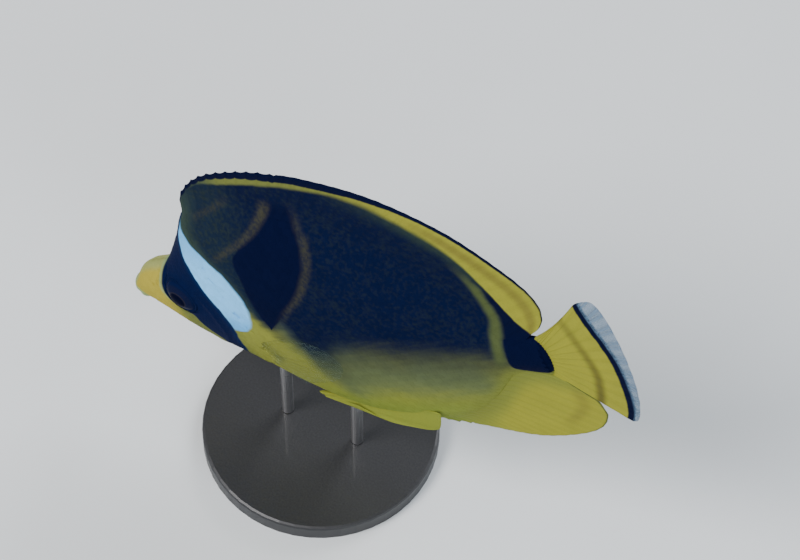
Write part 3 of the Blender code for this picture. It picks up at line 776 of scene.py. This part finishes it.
def fin(name, root, margin, rays, per_ray, rows_up, side, halves, spines=0, ridge=0.14, notch=0.75,
        base=None):
    """A fin: one sheet folded round its margin, with raised spines and branching rays, closed all round."""
    line = smooth_path(margin, 600)
    bm = bmesh.new()
    columns = (rays - 1) * per_ray
    bmesh.ops.create_grid(bm, x_segments=columns, y_segments=2 * rows_up, size=1.0)
    grid = np.array([v.co for v in bm.verts])
    share = (grid[:, 0] + 1) / 2
    fold = np.abs(grid[:, 1])
    sign = np.where(grid[:, 1] < 0, -1.0, 1.0)
    v = 1 - fold ** 1.3
    a = root(share)
    b = np.stack([np.interp(share * 599, np.arange(600), line[:, k]) for k in range(2)], axis=1)
    at = share * (rays - 1)
    off = at - np.round(at)
    spiny = np.round(at) < spines
    between = np.abs(np.sin(math.pi * at))
    span = np.linalg.norm(b - a, axis=1)
    cut_back = np.where(at < spines - 0.5, notch * between ** 0.7, 0.10 * between)
    b = b - (b - a) / np.maximum(span, 1e-6)[:, None] * cut_back[:, None]
    span = span - cut_back
    spread = 0.15 * step_up(v, 0.4, 0.95)
    profile = np.maximum(bump(off - spread, 0.12), bump(off + spread, 0.12))
    profile = np.where(spiny, bump(off, 0.17), profile)
    joints = 1 + 0.18 * np.sin(v * span / 0.75 * 2 * math.pi) * step_up(v, 0.25, 0.5)
    height = np.where(spiny, ridge * 1.3 * (1 - 0.4 * v), ridge * joints * (1 - 0.5 * v)) * profile
    thick = halves[0] + (halves[1] - halves[0]) * v ** 0.7
    close = np.sqrt(np.clip(1 - np.clip((v * span - (span - 0.45)) / 0.45, 0, 1) ** 2, 0, 1))
    close = close * np.minimum(1, np.sqrt(np.clip(np.minimum(share, 1 - share) * (rays - 1) / 0.35, 0, 1)))
    close = np.where(fold > 0.9999, 0.0, close)
    flat = a + (b - a) * v[:, None]
    if base:
        thick = thick + base(flat[:, 0], flat[:, 1])
    y = side(share, v) + sign * (thick + height) * close
    placed = in_row(np.stack([flat[:, 0], y, flat[:, 1]], axis=1))
    marks = {"inward": span * (1 - v), "outward": v, "ray": profile}
    layers = {key: bm.verts.layers.float.new(key) for key in marks}
    for i, vert in enumerate(bm.verts):
        vert.co = placed[i]
        for key, layer in layers.items():
            vert[layer] = float(marks[key][i])
    bmesh.ops.remove_doubles(bm, verts=bm.verts, dist=1e-6)
    face_out(bm)
    made = as_mesh(bm, name)
    smooth_shade(made, 60)
    return made


def on_line(line, ends, sunk):
    def root(share):
        x = ends[0] + (ends[1] - ends[0]) * share
        return np.stack([x, line(x) + sunk], axis=1)
    return root


def fleshy_base(line, outward):
    """How much thicker a fin is near its base, so that the flank runs on into it without a crease."""
    def extra(x, z):
        x = np.clip(x, 0, LENGTH)
        lean = np.sqrt(1 + (line(x + 0.5) - line(x - 0.5)) ** 2)
        meets = -FIN_MEETS_FLANK * lean
        thin = FIN_ROOT / 2
        flesh = side_at(x, line(x) + outward * meets)
        above = side_at(x, line(x) + outward * (meets - 0.2))
        below = side_at(x, line(x) + outward * (meets + 0.2))
        slope = (above - below) / 0.4
        way = np.clip(outward * (z - line(x)) - meets, 0, None)
        return np.clip(flesh - thin, 0, None) * np.exp(-way * slope / np.maximum(flesh - thin, 0.1))
    return extra


def caudal_root(share):
    top = float(back(LENGTH)) - 0.9
    low = float(belly(LENGTH)) + 0.9
    return np.stack([LENGTH - 1.0 + 1.6 * np.sin(math.pi * share), top + (low - top) * share], axis=1)


def fin_look(name):
    """A fin's finish, how far a place lies in from the margin, and where the rays stand up."""
    look = Look(name, ior=WET_IOR, specular_ior_level=0.02)
    return look, look.attribute("inward"), look.attribute("ray")


def colour_fin(look, colour, ray, alpha=None):
    """Feeds a fin's colour with fine grain and slightly darker rays."""
    grain = look.noise(0.5, 2.0)
    colour = look.shade(colour, 1.0 - ray * 0.08 + (grain - 0.5) * 0.2)
    look.feed(base_color=colour, roughness=grain * 0.15 + 0.32)
    if alpha is not None:
        look.feed(alpha=alpha)
    look.raise_up(grain, 0.25, 0.05)


dorsal_look, inward, ray = fin_look("dorsal_fin")
x, z = dorsal_look.side_view()
drift = dorsal_look.noise(5.0) - 0.5
clouds = dorsal_look.noise(9.0, 3.0)
inner = dorsal_look.line(x, [(36, 46.5), (42.5, 49.4), (49.4, 50.9), (56, 52.1), (63, 53), (70, 53.5),
                             (76, 53.5), (84.4, 52.7), (92.6, 50.5), (98.5, 47.6), (103, 44.9),
                             (107.4, 41.8), (110.5, 38.8), (113.4, 34.6), (116, 29), (118.4, 23.2),
                             (120.4, 17.9), (122.8, 13.6), (127, 9.5)])
dark = upper_colour(dorsal_look, x + drift * 1.2, z + drift, clouds)[0]
shade = dorsal_look.fade(z - inner, -7, 0) * dorsal_look.fade(x, 76, 104)
dark = dorsal_look.mix(shade * 0.5, dark, DORSAL_SHADE)
past = x + drift * 1.2 - dorsal_look.line(z + drift, STREAK_LINE)
dark = dorsal_look.mix(dorsal_look.fade(past, 1.0, 2.4) * dorsal_look.fade(z, 32, 22), dark, BLACK)
streak = dorsal_look.fade(abs(past), 2.5, 0.3) * dorsal_look.fade(z, 36, 24)
dark = dorsal_look.mix(streak * 0.88, dark, STREAK)
band = dorsal_look.mix(clouds, YELLOW, DEEP_YELLOW)
band = dorsal_look.mix(dorsal_look.fade(x, 108, 70) * 0.75, band, DIM_YELLOW)
amber = dorsal_look.fade(abs(inward - 4.4), 3.0, 0.3) * dorsal_look.fade(x, 98, 112)
band = dorsal_look.mix(amber * 0.65, band, AMBER)
soft = dorsal_look.line(x, [(40, 0.6), (60, 0.7), (80, 1.0), (98, 1.8), (112, 1.7), (119, 0.9), (126, 0.5)])
band = dorsal_look.mix(dorsal_look.fade(x, 52, 40) * 0.9, band, RIM_OLIVE)
colour = dorsal_look.mix(dorsal_look.fade((z - inner + drift) / soft, -0.8, 1.1), dark, band)
margin = dorsal_look.line(x, [(38, 1.2), (45, 1.7), (52, 2.2), (60, 2.7), (72, 3.0), (82, 2.9), (92, 2.3),
                              (101, 1.6), (107, 1.2), (118, 0.9), (126, 0.6), (131, 0.3)])
colour = dorsal_look.mix(dorsal_look.fade(inward - margin + drift * 0.6, 0.3, -0.3), colour, BLACK)
colour_fin(dorsal_look, colour, ray)
dorsal = show("dorsal_fin_dressed", fin(
    "dorsal_fin_dressed", on_line(back, DORSAL_BASE, -FIN_SUNK), DORSAL_EDGE, 36, 8, 28,
    lambda s, v: 0.25 * v * np.sin(s * 16), (FIN_ROOT / 2, FIN_EDGE / 2), spines=12, ridge=0.08, notch=0.55,
    base=fleshy_base(back, 1)), dorsal_look)
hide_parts("dorsal_fin")

anal_look, inward, ray = fin_look("anal_fin")
x, z = anal_look.side_view()
clouds = anal_look.noise(8.0, 3.0)
colour = anal_look.mix(clouds, YELLOW, DEEP_YELLOW)
smudge = anal_look.line(z, [(-28, 121.5), (-22.8, 123.5), (-19.1, 126.9), (-14.3, 130.3)])
smudge = anal_look.fade(abs(x - smudge), 3.2, 0.3) * anal_look.fade(z, -27, -20)
colour = anal_look.mix(smudge * 0.4, colour, AMBER)
colour = anal_look.mix(anal_look.fade(x, 106, 88) * 0.6, colour, LEAF_YELLOW)
away, shared = fin_meeting(anal_look, x, z)
colour = anal_look.mix(anal_look.fade(away, -8, -0.5), colour, shared)
colour = anal_look.mix(anal_look.fade(inward, 0.5, 0.2) * 0.7, colour, ANAL_RIM)
colour_fin(anal_look, colour, ray)
anal = show("anal_fin_dressed", fin(
    "anal_fin_dressed", on_line(belly, ANAL_BASE, FIN_SUNK), ANAL_EDGE, 21, 8, 26,
    lambda s, v: 0.25 * v * np.sin(s * 11 + 1), (FIN_ROOT / 2, FIN_EDGE / 2), spines=3, ridge=0.11,
    base=fleshy_base(belly, -1)), anal_look)
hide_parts("anal_fin")

caudal_look, inward, ray = fin_look("caudal_fin")
x, z = caudal_look.side_view()
clouds = caudal_look.noise(8.0, 3.0)
colour = caudal_look.mix(clouds, YELLOW, DEEP_YELLOW)
arc = caudal_look.line(z, [(-14, 134.6), (-9.6, 136.5), (-4.9, 137.8), (0.7, 138.7), (6, 138.2), (11, 137.2),
                           (16.5, 136), (22, 134.4)])
clear = caudal_look.line(z, [(-14, 0.9), (0, 0.75), (12, 0.55), (18, 0.4), (24, 0.1)])
colour = caudal_look.mix(caudal_look.fade(abs(x - arc), 2.3, 0.1) * clear, colour, BROWN)
edge_x = caudal_look.line(z, [(-18, 140.6), (-11.4, 143), (-4, 144.2), (3.7, 144.7), (11.3, 143.8),
                              (17.7, 142.2), (25, 140.8), (28, 140.4)])
clear = caudal_look.fade(x - edge_x, 1.6, 2.5)
colour = caudal_look.mix(caudal_look.fade(x - edge_x, -0.1, 0.4), colour, BLACK)
colour = caudal_look.mix(clear, colour, CLEAR_MARGIN)
colour_fin(caudal_look, colour, ray, 1 - clear * (0.52 - ray * 0.2))
caudal = show("caudal_fin_dressed", fin(
    "caudal_fin_dressed", caudal_root, CAUDAL_EDGE, 17, 12, 26,
    lambda s, v: 0.3 * v * v * np.sin(s * 9), (FIN_ROOT / 2, FIN_EDGE / 2)), caudal_look)
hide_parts("caudal_fin")

clear_look, inward, ray = fin_look("clear_fin")
outward = clear_look.attribute("outward")
colour = clear_look.mix(clear_look.fade(outward, 0.25, 0.0), CLEAR_WEB, FRONT_YELLOW)
colour_fin(clear_look, colour, ray, clear_look.fade(outward, 0.28, 0.02) * 0.3 + 0.04 + ray * 0.10)

pelvic_look, inward, ray = fin_look("pelvic_fin")
clouds = pelvic_look.noise(8.0, 3.0)
colour_fin(pelvic_look, pelvic_look.mix(clouds, LEAF_YELLOW, DEEP_YELLOW), ray)

for side, tag in ((-1, "left"), (1, "right")):
    def pectoral_root(share):
        return np.stack([42.5 + 0.6 * share, -1.2 - 6.5 * share], axis=1)

    def pectoral_side(share, v):
        flank = float(side_at(43.0, -4.0))
        return side * (flank + 0.3 + 1.5 * v + 0.3 * v * v + 0.1 * np.sin(share * 20) * v)

    def pelvic_root(share):
        return np.stack([45.5 + 0.5 * share, -27.4 - 1.8 * share], axis=1)

    def pelvic_side(share, v):
        return side * (3.4 + 1.8 * v - 0.6 * share)

    pectoral = show("pectoral_fin_dressed_" + tag, fin(
        "pectoral", pectoral_root, PECTORAL_EDGE, 12, 10, 20, pectoral_side, (0.5, 0.2), ridge=0.1),
        clear_look)
    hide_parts("pectoral_fin_" + tag)
    pelvic = show("pelvic_fin_dressed_" + tag, fin(
        "pelvic", pelvic_root, PELVIC_EDGE, 6, 12, 24, pelvic_side, (0.6, 0.25), spines=1, notch=0.3),
        pelvic_look)
    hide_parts("pelvic_fin_" + tag)


# Eyes, their rims and the lips.
eye_look = Look("eye", roughness=0.25, coat_weight=0.01, coat_roughness=0.03, ior=WET_IOR,
                specular_ior_level=WET_GLOSS)
out = eye_look.attribute("from_pupil")
fleck = eye_look.noise(0.5, 3.0)
iris = eye_look.mix(fleck, IRIS_DARK, IRIS_FLECK)
iris = eye_look.mix(eye_look.fade(out, 0.75, 0.95), iris, MASK)
iris = eye_look.mix(eye_look.fade(abs(out - 0.5), 0.045, 0.01), iris, IRIS_RING)
eye_look.feed(base_color=eye_look.mix(eye_look.fade(out, 0.48, 0.45), iris, PUPIL))

rim_look = Look("eye_rim", roughness=0.5, ior=WET_IOR, specular_ior_level=WET_GLOSS)
grain = rim_look.noise(0.5, 2.0)
rim_look.feed(base_color=rim_look.mix(grain, MASK, NAVY))
rim_look.raise_up(grain, 0.4, 0.06)

for side, tag in ((-1, "left"), (1, "right")):
    facing = np.array([EYE_FACING[0], EYE_FACING[1] * side, EYE_FACING[2]])
    facing /= np.linalg.norm(facing)
    across = np.cross(facing, [0, 0, 1])
    across /= np.linalg.norm(across)
    upright = np.cross(across, facing)
    surface = np.array([EYE_AT[0], float(side_at(*EYE_AT)) * side, EYE_AT[1]])
    middle = surface - facing * EYE_SUNK

    def eye_shape(unit):
        flat = np.hypot(unit[:, 0], unit[:, 1])
        dome = np.where(unit[:, 2] > 0, EYE_DEPTH + 0.35 * (1 - step_up(flat, 0.3, 0.75)), EYE_DEPTH)
        return (middle + np.outer(unit[:, 0] * EYE_RADIUS, across)
                + np.outer(unit[:, 1] * EYE_RADIUS, upright) + np.outer(unit[:, 2] * dome, facing))

    ball = shaped_ball("eye", 64, 40, eye_shape, lambda unit: {
        "from_pupil": np.where(unit[:, 2] > 0, np.hypot(unit[:, 0], unit[:, 1]), 1.0)})
    eye = show("eye_dressed_" + tag, ball, eye_look)
    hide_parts("eye_" + tag)

    bm = bmesh.new()
    ring = bmesh.ops.create_circle(bm, segments=12, radius=1.0)["verts"]
    for vert in ring:
        vert.co = (EYE_RADIUS * 0.985 + 0.5 * vert.co.x, 0, 0.42 * vert.co.y)
    bmesh.ops.spin(bm, geom=list(bm.verts) + list(bm.edges), cent=(0, 0, 0), axis=(0, 0, 1), dvec=(0, 0, 0),
                   angle=2 * math.pi, steps=72, use_merge=True, use_normal_flip=False, use_duplicate=False)
    bmesh.ops.remove_doubles(bm, verts=bm.verts, dist=1e-4)
    for vert in bm.verts:
        spot = middle + across * vert.co.x + upright * vert.co.y
        level = float(side_at(spot[0], spot[2])) - 0.05
        spot = np.array([spot[0], side * level, spot[2]]) + facing * vert.co.z
        vert.co = in_row(spot)
    face_out(bm)
    made = as_mesh(bm, "eye_rim")
    smooth_shade(made, 60)
    show("eye_rim_" + tag, made, rim_look)

lip_look = Look("lips", roughness=0.45, specular_ior_level=0.05)
grain = lip_look.noise(0.6, 3.0)
lip_look.feed(base_color=lip_look.mix(grain, LIP, PALE_SKIN_AND_HIGHLIGHT))
lip_look.raise_up(grain, 0.4, 0.06)
upper = [(3.6, -3.2, 2.2), (1.7, -2.9, 2.8), (-0.2, -2.0, 3.5), (-1.0, 0, 3.8), (-0.2, 2.0, 3.5),
         (1.7, 2.9, 2.8), (3.6, 3.2, 2.2)]
lower = [(3.4, -2.9, 1.3), (1.5, -2.6, 1.15), (-0.1, -1.8, 1.2), (-0.8, 0, 1.35), (-0.1, 1.8, 1.2),
         (1.5, 2.6, 1.15), (3.4, 2.9, 1.3)]
show("upper_lip", tube("upper_lip", upper, 0.8, 16, 60), lip_look)
show("lower_lip", tube("lower_lip", lower, 0.7, 16, 60), lip_look)


# Stand.
base_look = Look("stand_base", metallic=0.7, coat_weight=0.1)
grain = base_look.noise(0.5, 3.0)
base_look.feed(base_color=base_look.mix(grain, *BASE_PAINT), roughness=grain * 0.2 + 0.38)
base_look.raise_up(grain, 0.3, 0.05)
rod_look = Look("stand_rod", metallic=1.0)
place = rod_look.node("ShaderNodeTexCoord", output=3)
place = rod_look.node("ShaderNodeMapping", {}, {0: place, 3: (1.0, 1.0, 18.0)})
brushed = rod_look.noise(3.0, 3.0, place)
rod_look.feed(base_color=rod_look.mix(brushed, *ROD_STEEL), roughness=brushed * 0.2 + 0.22)
for node, look in (("stand_base", base_look), ("stand_rod_front", rod_look), ("stand_rod_rear", rod_look)):
    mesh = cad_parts[node].data
    mesh.materials.clear()
    mesh.materials.append(look.material)

# Floor, light and camera.
floor_look = Look("floor", roughness=0.9)
grain = floor_look.noise(60.0, 4.0)
floor_look.feed(base_color=floor_look.mix(grain, *FLOOR_PALE))
bm = bmesh.new()
bmesh.ops.create_grid(bm, x_segments=8, y_segments=8, size=3.0)
floor_mesh = as_mesh(bm, "floor")
floor_mesh.materials.append(floor_look.material)
floor = bpy.data.objects.new("floor", floor_mesh)
bpy.context.scene.collection.objects.link(floor)

world = bpy.data.worlds.new("studio")
world.use_nodes = True
world.node_tree.nodes["Background"].inputs[0].default_value = (0.86, 0.92, 1.0, 1)
world.node_tree.nodes["Background"].inputs[1].default_value = 0.42
bpy.context.scene.world = world


def lamp(name, at, size, power, colour):
    """A round soft light that points at the middle of the fish."""
    light = bpy.data.lights.new(name, "AREA")
    light.shape = "DISK"
    light.size = size
    light.energy = power
    light.color = colour
    made = bpy.data.objects.new(name, light)
    bpy.context.scene.collection.objects.link(made)
    made.location = at
    made.rotation_euler = (Vector((0, 0, 0.06)) - Vector(at)).to_track_quat("-Z", "Y").to_euler()


lamp("key", (-0.35, -0.45, 0.75), 0.45, 9.0, (1.0, 0.98, 0.95))
lamp("fill", (0.7, -0.5, 0.45), 0.7, 4.0, (0.85, 0.93, 1.0))
lamp("rim", (0.2, 0.7, 0.6), 0.5, 5.0, (0.95, 0.98, 1.0))

AZIMUTH = math.radians(27.4)
ELEVATION = math.radians(58.8)
CAMERA_DISTANCE = 0.75
toward_camera = Vector((math.sin(AZIMUTH) * math.cos(ELEVATION), -math.cos(AZIMUTH) * math.cos(ELEVATION),
                        math.sin(ELEVATION)))
looked_at = Vector(in_row([75.0, 0.0, 0.0]))
lens = bpy.data.cameras.new("camera")
lens.lens = 135.0
lens.sensor_width = 36.0
lens.shift_x = 0.0253
lens.shift_y = 0.065
lens.clip_start = 0.01
camera = bpy.data.objects.new("camera", lens)
bpy.context.scene.collection.objects.link(camera)
camera.location = looked_at + toward_camera * CAMERA_DISTANCE
camera.rotation_euler = (-toward_camera).to_track_quat("-Z", "Y").to_euler()
bpy.context.scene.camera = camera
